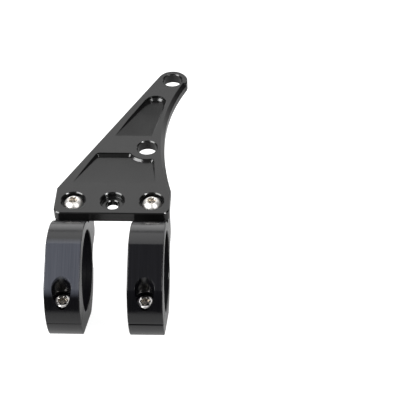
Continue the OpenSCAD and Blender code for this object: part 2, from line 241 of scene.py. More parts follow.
def on_arc(edge, center, r):
    """Says whether an edge lies on an arc that the pen drew."""
    return all(abs((vert.co.xy - center).length - r) < ON_ARC for vert in edge.verts)


def level(edge, z):
    """Says whether an edge lies at height z."""
    return all(abs(vert.co.z - z) < TOUCH for vert in edge.verts)


hollow = [edge for edge in arm_bm.edges if level(edge, top)
          and (on_arc(edge, upper_c, upper_r) or on_arc(edge, lower_c, lower_r))]
bevel(arm_bm, hollow, HOLLOW_BEVEL)
rim = [edge for edge in arm_bm.edges if (level(edge, top) or level(edge, bottom))
       and edge.calc_face_angle(0) > RIM_ANGLE]
bevel(arm_bm, rim, RIM_BREAK)
print(f"arm: {len(hollow)} edges with the wide bevel, {len(rim)} with the fine one")

# %% [markdown]
# ## Turned cutters
# A drill, a counterbore and a countersink are all turned shapes. A hole's cutter could be stacked
# from cylinders and cones, but spinning half of its section once round makes all of them in one
# go. The section is drawn in x and z, from the axis out and back to it. The same helper turns
# the screws later.

# %% Turn a section
TURN_STEPS = 96
MERGE = 0.0005


def turned(bm, section):
    """Spins a section of (radius, height) points round the axis through (0, 0)."""
    pen = bm.verts.new((section[0][0], 0, section[0][1]))
    chain = [pen]
    for r, z in section[1:]:
        pen = bmesh.ops.extrude_vert_indiv(bm, verts=[pen])["verts"][0]
        pen.co = (r, 0, z)
        chain.append(pen)
    bmesh.ops.spin(bm, geom=chain + bm.edges[:], cent=(0, 0, 0), axis=(0, 0, 1), dvec=(0, 0, 0),
                   angle=math.tau, steps=TURN_STEPS, use_merge=True, use_duplicate=False)
    bmesh.ops.remove_doubles(bm, verts=bm.verts, dist=MERGE)
    bmesh.ops.recalc_face_normals(bm, faces=bm.faces)


def fillet(r, z, radius, pieces=4):
    """Points of a quarter round in the corner between a wall of radius r and a floor at height z."""
    turns = [math.pi / 2 * i / pieces for i in range(pieces + 1)]
    return [(r - radius * (1 - math.cos(a)), z + radius * (1 - math.sin(a))) for a in turns]


def put(into, bm, x, y):
    """Moves a finished bmesh to (x, y) and adds it to another one."""
    bmesh.ops.translate(bm, verts=bm.verts, vec=(x, y, 0))
    mesh = bpy.data.meshes.new("passing")
    bm.to_mesh(mesh)
    bm.free()
    into.from_mesh(mesh)
    bpy.data.meshes.remove(mesh)


print(f"turned shapes have {TURN_STEPS} sides")

# %% [markdown]
# ## Holes
# The lamp's holes are bored, with a chamfer at both faces and faint rings from the tool. The three
# holes of the base are counterbored for button heads, with a small round at the counterbore's foot
# and a broken edge at the shank's hole. The rings could be bump in the finish, but the arm's finish
# knows nothing of a hole's axis, while a shallow groove is just three more points in the section.

# %% Sections of the holes
OVER = 1.0
RING_PITCH = 1.0
RING_WIDTH = 0.7
RING_DEPTH = 0.07
RING_START = 0.15
COUNTERBORE_R = 6.35
COUNTERBORE_DEPTH = 3.0
COUNTERBORE_ROUND = 0.35
SHANK_BREAK = 0.5


def bored_wall(r, high, low):
    """Points of a bore's wall with the fine rings that the boring tool leaves."""
    points = []
    for i in range(int((high - low) / RING_PITCH)):
        z = high - RING_START - i * RING_PITCH
        points += [(r, z), (r + RING_DEPTH, z - RING_WIDTH / 2), (r, z - RING_WIDTH)]
    return points


lamp_section = [(0, top + OVER), (lamp_hole_r + RIM_BREAK + OVER, top + OVER),
                (lamp_hole_r, top - RIM_BREAK),
                *bored_wall(lamp_hole_r, top - RIM_BREAK, bottom + RIM_BREAK),
                (lamp_hole_r, bottom + RIM_BREAK),
                (lamp_hole_r + RIM_BREAK + OVER, bottom - OVER), (0, bottom - OVER)]
seat_z = top - COUNTERBORE_DEPTH
screw_section = [(0, top + OVER), (COUNTERBORE_R + RIM_BREAK + OVER, top + OVER),
                 (COUNTERBORE_R, top - RIM_BREAK),
                 *fillet(COUNTERBORE_R, seat_z, COUNTERBORE_ROUND),
                 (shank_hole_r + SHANK_BREAK, seat_z), (shank_hole_r, seat_z - SHANK_BREAK),
                 (shank_hole_r, bottom - OVER), (0, bottom - OVER)]
print(f"sections: {len(lamp_section)} points for a lamp hole, {len(screw_section)} for a screw hole")

# %% Cutters of the five holes
to_screw = Vector((screw_x, 0))
holes_bm = bmesh.new()
for section, at in ((lamp_section, eyelet), (lamp_section, middle_hole), (screw_section, spare_hole),
                    (screw_section, spare_hole + to_screw), (screw_section, spare_hole - to_screw)):
    cutter = bmesh.new()
    turned(cutter, section)
    put(holes_bm, cutter, *at)
print("hole cutters:", len(holes_bm.faces), "faces")

# %% [markdown]
# ## Milled pockets
# Both pockets have a floor that starts level with the top face and falls away towards the eyelet,
# and their walls stand on a slanted foot, which catches the lamps as bright crescents. A bevel on
# the arm itself would fail where the wall has no height left. So the bevel goes on the cutter: it
# stands well above the plate, its lower face is tilted to the floor's slope, and the corner all
# round that face is taken off. Where a floor starts and where the far wall stands is measured from
# the row of arm screws.

# %% Shape a pocket's cutter
FLOOR_SLOPE = 4.2
FLOOR_SLANT = 1.1
CUTTER_RISE = 4.0


def shape_cutter(bm, fade_y):
    """Makes a plate of an outline that starts at fade_y, with a sloping floor and a slanted foot."""
    plate(bm, bottom, top + CUTTER_RISE)
    floor_verts = [vert for vert in bm.verts if vert.co.z < bottom + TOUCH]
    for vert in floor_verts:
        vert.co.z = top - (vert.co.y - fade_y) * math.tan(math.radians(FLOOR_SLOPE))
    floor_face = next(face for face in bm.faces if all(vert in floor_verts for vert in face.verts))
    bevel(bm, list(floor_face.edges), FLOOR_SLANT)
    bmesh.ops.recalc_face_normals(bm, faces=bm.faces)


STRAIGHT_LAND = 4.3
land_from = shoulder + STRAIGHT_LAND * edge_in


def land_at(y):
    """Point of the pockets' long wall at height y of the drawing."""
    return land_from + edge_way * ((y - land_from.y) / edge_way.y)


print(f"the pockets' long wall stays {STRAIGHT_LAND} mm from the arm's straight edge")

# %% [markdown]
# The upper pocket is a long triangle with a round end under the eyelet. Its long wall runs along
# the arm's straight edge, and its short wall touches the round end and stops beside the waist.

# %% Upper pocket
UPPER_END_R = 6.3
END_TO_EYELET = 21.6
UPPER_FADE = 54
WAIST_LAND = 6
END_STEP = 6

fade_y = row_y + UPPER_FADE
end_y = eyelet.y - END_TO_EYELET
end_c = land_at(end_y - UPPER_END_R * edge_in.y) + UPPER_END_R * edge_in
foot = Vector((waist.x - WAIST_LAND, fade_y))
to_foot = foot - end_c
foot_way = way_to(turn_of(to_foot) + math.degrees(math.asin(UPPER_END_R / to_foot.length)))
foot_in = Vector((foot_way.y, -foot_way.x))

upper_bm = bmesh.new()
start = land_at(fade_y - UPPER_END_R)
pen = pen_at(upper_bm, start)
pen = line_to(upper_bm, pen, Vector((foot.x, start.y)))
pen = line_to(upper_bm, pen, foot)
pen = line_to(upper_bm, pen, end_c - UPPER_END_R * foot_in)
pen = arc_to(upper_bm, pen, end_c, end_c - UPPER_END_R * edge_in, step=END_STEP)
line_to(upper_bm, pen, start)
shape_cutter(upper_bm, fade_y)
print("upper pocket's round end at", [round(c, 1) for c in end_c])

# %% [markdown]
# The lower pocket fills the widest part of the arm. Its far wall bends round the middle lamp hole,
# so that an island of metal is left for the lamp's bolt. Where the island meets a straight wall
# the cutter leaves its own small round, so those corners are worked out as circles that touch both.

# %% Corners of the lower pocket
CUTTER_R = 2
ISLAND_LAND = 4.7
FAR_WALL = 39
LOWER_FADE = 14.5
SIDE_LAND = 6.4

island_r = lamp_hole_r + ISLAND_LAND
far_y = row_y + FAR_WALL
fade_y = row_y + LOWER_FADE


def side_at(y):
    """Point of the pocket's wall beside the hollow edge."""
    return Vector((lower_c.x - math.sqrt(lower_r ** 2 - (waist.y - y) ** 2) - SIDE_LAND, y))


side_foot = side_at(fade_y)
side_way = (side_at(far_y) - side_foot).normalized()
side_in = Vector((-side_way.y, side_way.x))
left_c = land_at(far_y - CUTTER_R) + Vector((CUTTER_R / edge_in.x, 0))
to_hole = island_r + CUTTER_R
drop = middle_hole.y - far_y + CUTTER_R
knuckle_c = middle_hole - Vector((math.sqrt(to_hole ** 2 - drop ** 2), drop))
off_wall = CUTTER_R - (middle_hole - side_foot).dot(side_in)
side_c = middle_hole + off_wall * side_in - math.sqrt(to_hole ** 2 - off_wall ** 2) * side_way
print("lower pocket's corners at", [round(c, 1) for c in (*left_c, *knuckle_c, *side_c)])

# %% Lower pocket
SMALL_STEP = 10

lower_bm = bmesh.new()
start = land_at(fade_y - CUTTER_R)
pen = pen_at(lower_bm, start)
pen = line_to(lower_bm, pen, Vector((side_foot.x, start.y)))
pen = line_to(lower_bm, pen, side_foot)
pen = line_to(lower_bm, pen, side_c - CUTTER_R * side_in)
pen = arc_to(lower_bm, pen, side_c, middle_hole, step=SMALL_STEP)
pen = arc_to(lower_bm, pen, middle_hole, knuckle_c, side=-1)
pen = arc_to(lower_bm, pen, knuckle_c, knuckle_c + Vector((0, CUTTER_R)), step=SMALL_STEP)
pen = line_to(lower_bm, pen, left_c + Vector((0, CUTTER_R)))
pen = arc_to(lower_bm, pen, left_c, left_c - CUTTER_R * edge_in, step=SMALL_STEP)
line_to(lower_bm, pen, start)
shape_cutter(lower_bm, fade_y)
print("lower pocket's cutter:", len(lower_bm.faces), "faces")

# %% [markdown]
# ## Finishes
# Black anodising is a dyed oxide skin on aluminium. It shines like a clear coat over black, not
# like bare metal, so it is a dielectric with a dark colour. A picture of metal could carry its
# grain, but noise nodes need no file and work at any size. They read Object coordinates, stretched
# by a Mapping node, so that the grain stays on the metal whatever the camera does.

# %% Node helpers
DIELECTRIC, METAL = 0, 1


def add_node(tree, kind, **values):
    """Adds a node, and sets each value on its socket or, where it has none, on the node."""
    node = tree.nodes.new(kind)
    for key, value in values.items():
        if key in node.inputs:
            node.inputs[key].default_value = value
        else:
            setattr(node, key, value)
    return node


def ramp(tree, value, start, end, low, high, shape="LINEAR"):
    """Runs from low to high while a value goes from start to end."""
    node = add_node(tree, "ShaderNodeMapRange", interpolation_type=shape)
    for key, number in (("From Min", start), ("From Max", end), ("To Min", low), ("To Max", high)):
        node.inputs[key].default_value = number
    tree.links.new(value, node.inputs["Value"])
    return node.outputs["Result"]


def combined(tree, operation, *values):
    """Sums, multiplies or compares values, each of them a number or the output of a node."""
    node = add_node(tree, "ShaderNodeMath", operation=operation)
    for socket, value in zip(node.inputs, values):
        if isinstance(value, bpy.types.NodeSocket):
            tree.links.new(value, socket)
        else:
            socket.default_value = value
    return node.outputs[0]


def finish_of(name, metallic):
    """Starts a material, and gives back it, its node tree and its shader."""
    mat = bpy.data.materials.new(name)
    mat.use_nodes = True
    shader = mat.node_tree.nodes["Principled BSDF"]
    shader.inputs["Metallic"].default_value = metallic
    return mat, mat.node_tree, shader


print(f"metallic is {DIELECTRIC} for anodising and {METAL} for bare steel")

# %% [markdown]
# Marks on metal show in three ways: as a change of colour, of gloss and of height. Each could have a
# noise of its own, but a real mark often changes more than one of them in the same place. So
# a noise is made once, and three helpers lead it to the colour, the roughness or the bump.

# %% Marks on the metal
NOISE_LOW, NOISE_HIGH = 0.3, 0.7
TINT_LOW, TINT_HIGH = 0.35, 0.65
NOISE_ROUGHNESS = 0.6
BUMP_STRENGTH = 0.6


def marks(tree, scale, detail=3):
    """Noise on Object coordinates; scale is marks per metre along x, y and z."""
    coords = add_node(tree, "ShaderNodeTexCoord")
    mapping = add_node(tree, "ShaderNodeMapping", Scale=scale)
    noise = add_node(tree, "ShaderNodeTexNoise", Scale=1, Detail=detail, Roughness=NOISE_ROUGHNESS)
    tree.links.new(coords.outputs["Object"], mapping.inputs["Vector"])
    tree.links.new(mapping.outputs["Vector"], noise.inputs["Vector"])
    return noise.outputs["Fac"]


def roughen(tree, fac, smooth, rough, shader):
    """Lets a noise vary the roughness between two values."""
    tree.links.new(ramp(tree, fac, NOISE_LOW, NOISE_HIGH, smooth, rough), shader.inputs["Roughness"])


def tint(tree, fac, dark, light, socket):
    """Runs a noise through two colours into a socket."""
    colours = add_node(tree, "ShaderNodeValToRGB")
    dark_end, light_end = colours.color_ramp.elements
    dark_end.position, light_end.position = TINT_LOW, TINT_HIGH
    dark_end.color, light_end.color = (*dark, 1), (*light, 1)
    tree.links.new(fac, colours.inputs["Fac"])
    tree.links.new(colours.outputs["Color"], socket)


def raise_by(tree, fac, height, shader):
    """Lets a noise stand height metres high as bump."""
    bump = add_node(tree, "ShaderNodeBump", Strength=BUMP_STRENGTH, Distance=height)
    tree.links.new(fac, bump.inputs["Height"])
    tree.links.new(bump.outputs["Normal"], shader.inputs["Normal"])


print(f"roughness follows a noise from {NOISE_LOW} to {NOISE_HIGH}, colour from {TINT_LOW} to {TINT_HIGH}")

# %% [markdown]
# The arm is satin all over. A single roughness would look like plastic, so two noises are at work:
# a grain of a few tenths of a millimetre, only a micrometre or two high, and clouds of a centimetre
# or two, in which the colour and the gloss hardly vary.

# %% Satin black of the arm
SATIN_GRAIN = (2600, 2600, 2600)
SATIN_GRAIN_HEIGHT = 0.0000015
SATIN_CLOUD = (60, 60, 60)


def satin_black():
    """Black with a fine grain and faint clouds."""
    mat, tree, shader = finish_of("satin_black_anodised", DIELECTRIC)
    cloud = marks(tree, SATIN_CLOUD, detail=2)
    tint(tree, cloud, (0.004, 0.004, 0.004), (0.007, 0.007, 0.007), shader.inputs["Base Color"])
    roughen(tree, cloud, 0.18, 0.21, shader)
    raise_by(tree, marks(tree, SATIN_GRAIN), SATIN_GRAIN_HEIGHT, shader)
    return mat


arm_black = satin_black()
print("finish:", arm_black.name)

# %% [markdown]
# The clamps come off a lathe, so fine rings run round the fork: the noise is narrow along the
# fork's axis and long across it. On the outer clamp the flat above the front gets a painted sheen,
# lighter and a little blue, which stands in for light that the flat mirrors; on the inner one it is
# as black as the rest. That flat could be a material slot of its own, but its border would be a hard
# line. Here a smooth mask follows the distance from the fork's axis: only metal that reaches out as
# far as the flat, in the way that the flat looks, gets the painted sheen.

# %% Turned black of the clamps
FLAT_TURN = 123
FLAT_REACH = 28.6
FLAT_BORDER = (2.4, 0.2)
LATHE_MARKS = (4200, 22, 22)
LATHE_MARK_HEIGHT = 0.000001
SMOOTHER, ROUGHER = 0.05, 0.06


def turned_black(name, rough, sheen_dark_colour, sheen_light_colour):
    """Turned black, with a painted sheen, lighter and bluish, on the flat above the front."""
    mat, tree, shader = finish_of(name, DIELECTRIC)
    rings = marks(tree, LATHE_MARKS, detail=4)
    roughen(tree, rings, rough - SMOOTHER, rough + ROUGHER, shader)
    raise_by(tree, rings, LATHE_MARK_HEIGHT, shader)
    coords = add_node(tree, "ShaderNodeTexCoord")
    reach = add_node(tree, "ShaderNodeVectorMath", operation="DOT_PRODUCT")
    reach.inputs[1].default_value = (0, *way_to(FLAT_TURN))
    tree.links.new(coords.outputs["Object"], reach.inputs[0])
    starts, ends = [(FLAT_REACH - border) * MM for border in FLAT_BORDER]
    # Mask of the painted sheen: the flat above the front, where the clamp mirrors light
    painted_sheen_mask = ramp(tree, reach.outputs["Value"], starts, ends, 0, 1, shape="SMOOTHSTEP")
    # The Mix node keeps a pair of inputs for each kind of value: 6, 7 and output 2 are for colours
    choice = add_node(tree, "ShaderNodeMix", data_type="RGBA")
    tree.links.new(painted_sheen_mask, choice.inputs[0])
    tint(tree, rings, (0.003, 0.003, 0.004), (0.005, 0.005, 0.006), choice.inputs[6])
    # Colours of the painted sheen, which stand in for light that the flat mirrors
    tint(tree, rings, sheen_dark_colour, sheen_light_colour, choice.inputs[7])
    tree.links.new(choice.outputs[2], shader.inputs["Base Color"])
    return mat


# The outer clamp's flat gets a painted sheen; the inner clamp's flat stays as black as the rest
painted_sheen_outer_finish = turned_black("outer_clamp_black_painted_sheen", 0.2, (0.047, 0.050, 0.062), (0.062, 0.066, 0.080))
inner_black = turned_black("turned_black_inner", 0.18, (0.003, 0.003, 0.004), (0.006, 0.006, 0.008))
print("finishes:", painted_sheen_outer_finish.name, inner_black.name)

# %% [markdown]
# The screws are bright stainless steel. A lathe leaves fine rings round each screw's own axis, and
# four screws have four axes, so a pattern on coordinates would need four materials. Instead the
# mesh carries the distance from its own axis as an attribute, which the steel reads. The button
# heads are softly bright. The cap heads are smoother, so a flat top mirrors one part of the room,
# while the rounded rim is rougher and catches light from many sides, and its lighter colour is a
# painted highlight. The hexagon sockets are punched; their warmer colour is brown dirt, and their
# darker colour is painted shade of the recess.

# %% Steel
TOOL_RINGS = 9000
TOOL_RING_HEIGHT = 0.000012
STEEL_CLOUD = (900, 900, 900)
PUNCH_MARKS = (1500, 1500, 700)
PUNCH_MARK_HEIGHT = 0.00003
RIM_MARKS = (1200, 1200, 1200)


def turned_steel(name, smooth, rough):
    """Bright steel with fine rings round the screw's own axis."""
    mat, tree, shader = finish_of(name, METAL)
    radius = add_node(tree, "ShaderNodeAttribute", attribute_name="lathe_radius")
    rings = add_node(tree, "ShaderNodeTexNoise", noise_dimensions="1D", Scale=1, Detail=2)
    tree.links.new(combined(tree, "MULTIPLY", radius.outputs["Fac"], TOOL_RINGS), rings.inputs["W"])
    cloud = marks(tree, STEEL_CLOUD)
    tint(tree, cloud, (0.80, 0.78, 0.75), (0.90, 0.88, 0.85), shader.inputs["Base Color"])
    roughen(tree, cloud, smooth, rough, shader)
    raise_by(tree, rings.outputs["Fac"], TOOL_RING_HEIGHT, shader)
    return mat


def dirty_shaded_socket_finish():
    """Steel of a hexagon socket, warmer with brown dirt and darker as painted shade of its recess."""
    mat, tree, shader = finish_of("hex_socket_dirt_and_painted_shade", METAL)
    cloud = marks(tree, PUNCH_MARKS)
    # Darker than the screw's steel as painted shade of the socket's recess, warmer as brown dirt
    tint(tree, cloud, (0.50, 0.46, 0.41), (0.74, 0.71, 0.67), shader.inputs["Base Color"])
    roughen(tree, cloud, 0.20, 0.34, shader)
    raise_by(tree, cloud, PUNCH_MARK_HEIGHT, shader)
    return mat


def rim_finish_painted_highlight():
    """Dull steel of a cap head's rounded rim, lighter as a painted highlight."""
    mat, tree, shader = finish_of("cap_rim_painted_highlight", METAL)
    cloud = marks(tree, RIM_MARKS)
    # Lighter than the screw's steel: a painted highlight on the rim
    tint(tree, cloud, (0.90, 0.89, 0.87), (0.97, 0.96, 0.94), shader.inputs["Base Color"])
    roughen(tree, cloud, 0.36, 0.50, shader)
    return mat


button_steel = turned_steel("turned_button_steel", 0.38, 0.48)
cap_steel = turned_steel("turned_cap_steel", 0.08, 0.16)
socket_metal_dirt_and_shade = dirty_shaded_socket_finish()
rim_metal_painted_highlight = rim_finish_painted_highlight()
print("finishes:", *(mat.name for mat in (button_steel, cap_steel, socket_metal_dirt_and_shade, rim_metal_painted_highlight)))

# %% [markdown]
# ## From bmesh to piece
# A finished piece goes to metres, rides on the body and stands for its CAD node. It is shaded
# smooth except over its sharp edges, and weighted normals keep its large flats flat beside small
# rounds. The arm also has pocket floors that meet the top face at only a few degrees. Smooth
# shading would smear that bend over the whole floor, so the arm's level faces are shaded flat.

# %% Finish a piece
SHARP = math.radians(32)
SLOPE_MARGIN = 1
NEARLY_LEVEL = math.cos(math.radians(FLOOR_SLOPE + SLOPE_MARGIN))


def piece_of(name, bm, mats, node, flat_levels=False):
    """Makes a finished bmesh the piece that stands for a CAD node."""
    bmesh.ops.scale(bm, verts=bm.verts, vec=(MM, MM, MM))
    for face in bm.faces:
        face.smooth = not (flat_levels and abs(face.normal.z) > NEARLY_LEVEL)
    for edge in bm.edges:
        edge.smooth = edge.calc_face_angle(0) < SHARP
    mesh = bpy.data.meshes.new(name)
    bm.to_mesh(mesh)
    bm.free()
    for mat in mats:
        mesh.materials.append(mat)
    obj = bpy.data.objects.new(name, mesh)
    bpy.context.scene.collection.objects.link(obj)
    weighted = obj.modifiers.new("weighted", "WEIGHTED_NORMAL")
    weighted.keep_sharp = True
    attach(obj, "root")
    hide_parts(node)
    print(f"{name}: {len(mesh.polygons)} faces")


print(f"edges over {math.degrees(SHARP):.0f} degrees stay sharp")

# %% [markdown]
# ## Cutting the arm
# The holes and pockets could be left open in the outline and bridged by hand, but a boolean does
# the same as the mill: it takes away what the cutter passes through. bmesh has no boolean
# operator, so the bmesh becomes an object for a moment, and the result is read back.

# %% Cut the arm
def cut(bm, *cutters):
    """Subtracts the cutters from a bmesh, one after the other, and gives back the result."""
    def passing_object(source):
        mesh = bpy.data.meshes.new("passing")
        source.to_mesh(mesh)
        source.free()
        obj = bpy.data.objects.new("passing", mesh)
        bpy.context.scene.collection.objects.link(obj)
        return obj

    blank = passing_object(bm)
    tools = [passing_object(cutter) for cutter in cutters]
    for tool in tools:
        away = blank.modifiers.new("cut", "BOOLEAN")
        away.operation = "DIFFERENCE"
        away.solver = "EXACT"
        away.object = tool
    result = bmesh.new()
    result.from_object(blank, bpy.context.evaluated_depsgraph_get())
    for obj in (blank, *tools):
        mesh = obj.data
        bpy.data.objects.remove(obj)
        bpy.data.meshes.remove(mesh)
    return result


arm_bm = cut(arm_bm, holes_bm, upper_bm, lower_bm)
print("cut arm:", len(arm_bm.faces), "faces")

# %% [markdown]
# The pockets' top edges are broken by a few tenths of a millimetre. The cutters could flare out at
# that height to make them, but a bevel on the cut arm is simpler. It goes along the convex edges
# that are left at the top face.

# %% Break the pockets' edges
POCKET_BREAK = 0.3
POCKET_ANGLE = math.radians(50)

pocket_rims = [edge for edge in arm_bm.edges if level(edge, top) and edge.is_convex
               and edge.calc_face_angle(0) > POCKET_ANGLE]
bevel(arm_bm, pocket_rims, POCKET_BREAK, segments=2)
print(f"pockets: {len(pocket_rims)} rim edges broken")
piece_of("milled_arm", arm_bm, [arm_black], "arm", flat_levels=True)

# %% [markdown]
# ## Clamps
# The clamps' shape is right in the CAD model: the round with its two flats, the lug, the slit and
# the counterbore that breaks out at the front. Only their edges are too sharp. The CAD node itself
# is never changed, so its mesh is copied, its loose triangles are merged, flat neighbours become
# one face again, and a small bevel rounds what is still sharp.

# %% Clamps from copies of the CAD nodes
CLAMP_ROUND = 0.12
CLAMP_ANGLE = math.radians(40)
FLAT_ANGLE = math.radians(0.2)


def merged_copy(node):
    """Copy of a CAD node's mesh in millimetres, with shared corners and whole flat faces."""
    bm = bmesh.new()
    bm.from_mesh(frame["nodes"][node].data)
    bmesh.ops.scale(bm, verts=bm.verts, vec=(1 / MM, 1 / MM, 1 / MM))
    bmesh.ops.remove_doubles(bm, verts=bm.verts, dist=MERGE)
    bmesh.ops.dissolve_limit(bm, angle_limit=FLAT_ANGLE, verts=bm.verts, edges=bm.edges)
    return bm


for side, mat in (("outer", painted_sheen_outer_finish), ("inner", inner_black)):
    clamp_bm = merged_copy(f"{side}_clamp")
    sharp = [edge for edge in clamp_bm.edges if edge.is_manifold and edge.is_convex
             and edge.calc_face_angle(0) > CLAMP_ANGLE]
    bevel(clamp_bm, sharp, CLAMP_ROUND, segments=2)
    print(f"{side} clamp: {len(sharp)} sharp edges rounded")
    piece_of(f"turned_{side}_clamp", clamp_bm, [mat], f"{side}_clamp")

# %% [markdown]
# ## Screws
# Each screw is one turned section: from the socket's mouth over the head, under it, along the
# thread and round the tip to the axis. The socket could be cut by a boolean, but that leaves long
# thin triangles on the head. Instead the hexagon is a circle of six corners whose sides are cut
# into as many parts as the turned mouth has, so that a bridge joins the two loops without a twist.
# Its wall is pulled down from there, and a small cone closes it.

# %% Hexagon socket
CORNER_RATIO = 1 / math.cos(math.pi / 6)
MOUTH_DROP = 0.25
CONE_DEPTH = 0.25
CONE_TIP = 0.02
CLOSE_TIP = 0.2


def sink_socket(bm, width, mouth_z, depth):
    """Bridges the open mouth of a turned head to a hexagon, and sinks the hexagon's walls."""
    mouth = [edge for edge in bm.edges if edge.is_boundary]
    bmesh.ops.create_circle(bm, cap_ends=False, segments=6, radius=width / 2 * CORNER_RATIO,
                            matrix=Matrix.Translation((0, 0, mouth_z - MOUTH_DROP)))
    sides = [edge for edge in bm.edges if edge.is_wire]
    bmesh.ops.subdivide_edges(bm, edges=sides, cuts=TURN_STEPS // 6 - 1)
    hexagon = [edge for edge in bm.edges if edge.is_wire]
    bmesh.ops.bridge_loops(bm, edges=mouth + hexagon)
    for drop, size in ((depth - MOUTH_DROP, 1), (width * CONE_DEPTH, CONE_TIP)):
        pulled = bmesh.ops.extrude_edge_only(bm, edges=hexagon)["geom"]
        low = [part for part in pulled if isinstance(part, bmesh.types.BMVert)]
        hexagon = [part for part in pulled if isinstance(part, bmesh.types.BMEdge)]
        bmesh.ops.translate(bm, verts=low, vec=(0, 0, -drop))
        bmesh.ops.scale(bm, verts=low, vec=(size, size, 1))
    bmesh.ops.remove_doubles(bm, verts=low, dist=CLOSE_TIP)
    bmesh.ops.recalc_face_normals(bm, faces=bm.faces)


print(f"a hexagon is {CORNER_RATIO:.3f} times as wide over its corners as over its flats")

# %% [markdown]
# A real thread is a helix. It could be made with a Screw modifier, but it sits in its hole, where
# nobody sees it. Plain ridges, one for each turn of the thread, stay part of the turned section.

# %% Thread
THREAD_DEPTH = 0.54
CREST_FROM, CREST_TO = 0.45, 0.55
THREAD_START = -0.6
TIP_BREAK = 0.7


def shank(r, length, pitch):
    """Points of a threaded shank, from under the head to its tip on the axis."""
    root_r = r - THREAD_DEPTH * pitch
    points = [(r, 0), (root_r, THREAD_START)]
    for i in range(int((length - 2 * pitch) / pitch)):
        z = THREAD_START - i * pitch
        points += [(r, z - CREST_FROM * pitch), (r, z - CREST_TO * pitch), (root_r, z - pitch)]
    return points + [(r - TIP_BREAK, -length), (0, -length)]


print("an M6 shank of 20 mm has a section of", len(shank(r=3, length=20, pitch=1)), "points")

# %% [markdown]
# A screw is turned at the origin and then moved to its node. Its steels could be given out while
# it is being made, but each operator would need its own bookkeeping. They are told apart by
# place instead: the socket is what lies inside the mouth, and the rim what lies outside the flat top.

# %% Place a screw
INSIDE_MOUTH = 0.02


def place_screw(name, bm, node, steel, mouth_r, socket_floor, rim_r=math.inf, rim_z=math.inf):
    """Gives the socket and the rim their own steel, and moves the screw to its node's place."""
    for face in bm.faces:
        middle = face.calc_center_median()
        face.material_index = int(middle.xy.length < mouth_r - INSIDE_MOUTH and middle.z > socket_floor)
        if middle.xy.length > rim_r and middle.z > rim_z:
            face.material_index = 2
    lathe_radius = bm.verts.layers.float.new("lathe_radius")
    for vert in bm.verts:
        vert[lathe_radius] = vert.co.xy.length * MM
    low, high = [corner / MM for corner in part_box(node)]
    lift = high.z - max(vert.co.z for vert in bm.verts)
    bmesh.ops.translate(bm, verts=bm.verts, vec=((low.x + high.x) / 2, (low.y + high.y) / 2, lift))
    piece_of(name, bm, [steel, socket_metal_dirt_and_shade, rim_metal_painted_highlight], node)


print("slots of a screw: its turned steel,", socket_metal_dirt_and_shade.name, "and", rim_metal_painted_highlight.name)

# %% [markdown]
# The arm's screws have button heads. A flattened sphere could stand for the dome, but then its rim
# and its flat would have to be cut. The dome is one arc from a small flat round the socket down to
# a low rim. Its centre lies on the axis, so it follows from those two points.

# %% Button head screws
BUTTON_R = 5.25
BUTTON_H = 3.3
BUTTON_RIM = 0.4
BUTTON_FLAT_R = 2.9
BUTTON_EDGE = [(BUTTON_R - 0.05, 0.06), (BUTTON_R - 0.15, 0)]
BUTTON_SOCKET = 4.0
BUTTON_SOCKET_DEPTH = 2.1
BUTTON_SOCKET_FLOOR = 0.2
BUTTON_MOUTH_BREAK = 0.15
BUTTON_MOUTH_R = BUTTON_SOCKET / 2 * CORNER_RATIO + BUTTON_MOUTH_BREAK

flat_squared = BUTTON_FLAT_R ** 2 + BUTTON_H ** 2
rim_squared = BUTTON_R ** 2 + BUTTON_RIM ** 2
ball_z = (flat_squared - rim_squared) / (2 * (BUTTON_H - BUTTON_RIM))
ball_r = math.hypot(BUTTON_FLAT_R, BUTTON_H - ball_z)


def dome(pieces=14):
    """Points of the button head's dome, from its flat down to its rim."""
    first = math.atan2(BUTTON_H - ball_z, BUTTON_FLAT_R)
    last = math.atan2(BUTTON_RIM - ball_z, BUTTON_R)
    turns = [first + (last - first) * i / pieces for i in range(pieces + 1)]
    return [(ball_r * math.cos(a), ball_z + ball_r * math.sin(a)) for a in turns]


print(f"dome: ball of {ball_r:.1f} mm")
for side in ("outer", "inner"):
    button_bm = bmesh.new()
    turned(button_bm, [(BUTTON_MOUTH_R, BUTTON_H), *dome(), *BUTTON_EDGE, *shank(r=3, length=20, pitch=1)])
    sink_socket(button_bm, BUTTON_SOCKET, BUTTON_H, BUTTON_SOCKET_DEPTH)
    place_screw(f"{side}_button_screw", button_bm, f"{side}_arm_screw", button_steel,
                BUTTON_MOUTH_R, BUTTON_SOCKET_FLOOR)

# %% [markdown]
# The pinch bolts have tall heads with a straight knurl. It could be cut by dozens of small
# wedges, but the turned side already has narrow faces, so every second one is inset and sunk
# by about a tenth of a millimetre.

# %% Cap head bolts
CAP_R = 4.25
CAP_H = 5.0
CAP_ROUND = 0.8
CAP_FOOT = [(CAP_R, 0.4), (CAP_R - 0.2, 0)]
CAP_SOCKET = 4.0
CAP_SOCKET_DEPTH = 2.5
CAP_SOCKET_FLOOR = 0.5
CAP_MOUTH_BREAK = 0.2
CAP_MOUTH_R = CAP_SOCKET / 2 * CORNER_RATIO + CAP_MOUTH_BREAK
KNURL_FROM = 0.5
KNURL_DEPTH = 0.12
KNURL_EDGE = 0.03
UPRIGHT = 0.1
AT_SIDE = 0.1


def cap_rim(pieces=5):
    """Points of the rounded rim, from the flat top to the side."""
    turns = [math.pi / 2 * i / pieces for i in range(pieces + 1)]
    return [(CAP_R - CAP_ROUND * (1 - math.sin(a)), CAP_H - CAP_ROUND * (1 - math.cos(a))) for a in turns]


